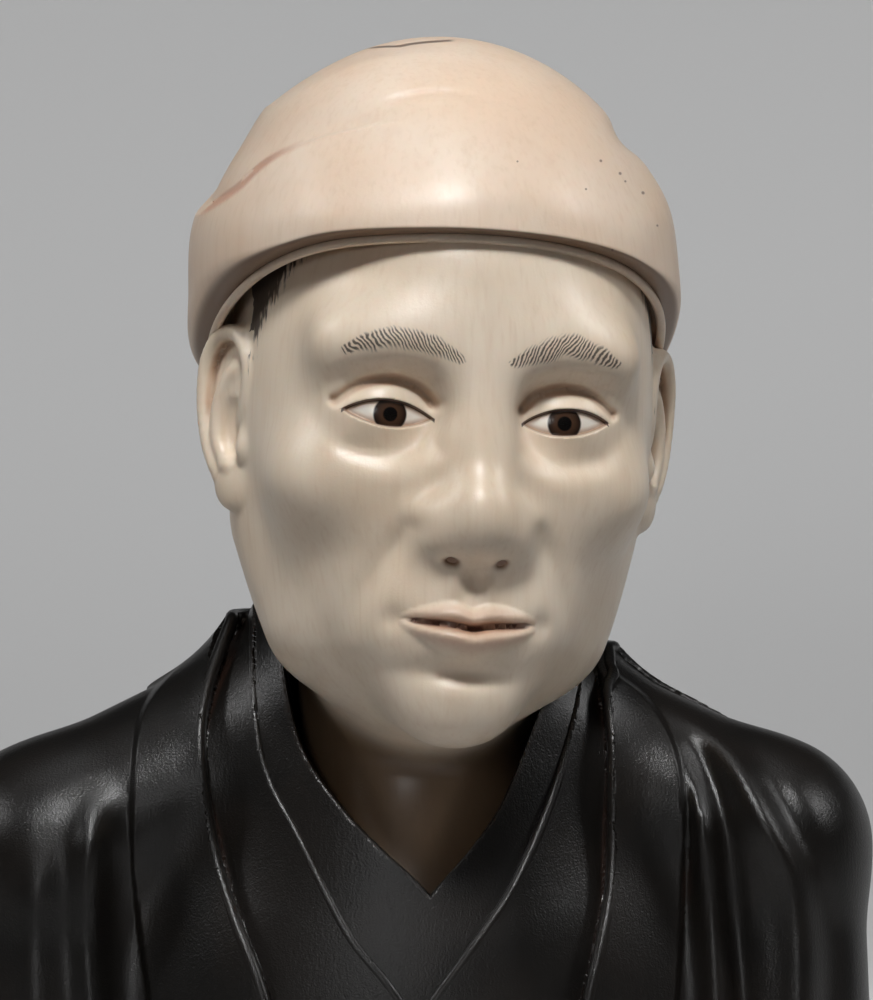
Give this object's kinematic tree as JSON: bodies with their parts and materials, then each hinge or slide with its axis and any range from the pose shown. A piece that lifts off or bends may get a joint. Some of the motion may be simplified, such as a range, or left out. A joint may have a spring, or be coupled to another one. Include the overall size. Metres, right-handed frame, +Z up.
{
  "type": "okimono bust of a musician",
  "caption": "Carved bust of an elderly musician with an ivory head in a soft cap, set into a dark wood robe with layered collars, cut flat below.",
  "frame": {"origin": "middle of the flat underside of the bust", "axes": "+Z up; the figure faces -Y, with +X to the viewer's right"},
  "size_m": [0.0734, 0.0506, 0.0805],
  "materials": {
    "ivory": "carved and polished ivory, lightly grained, with brown stain in its recesses",
    "dark_wood": "near-black stained hardwood, satin, with fine pores"
  },
  "bodies": {
    "root": {"head": "ivory", "robe": "dark_wood"}
  },
  "joints": []
}
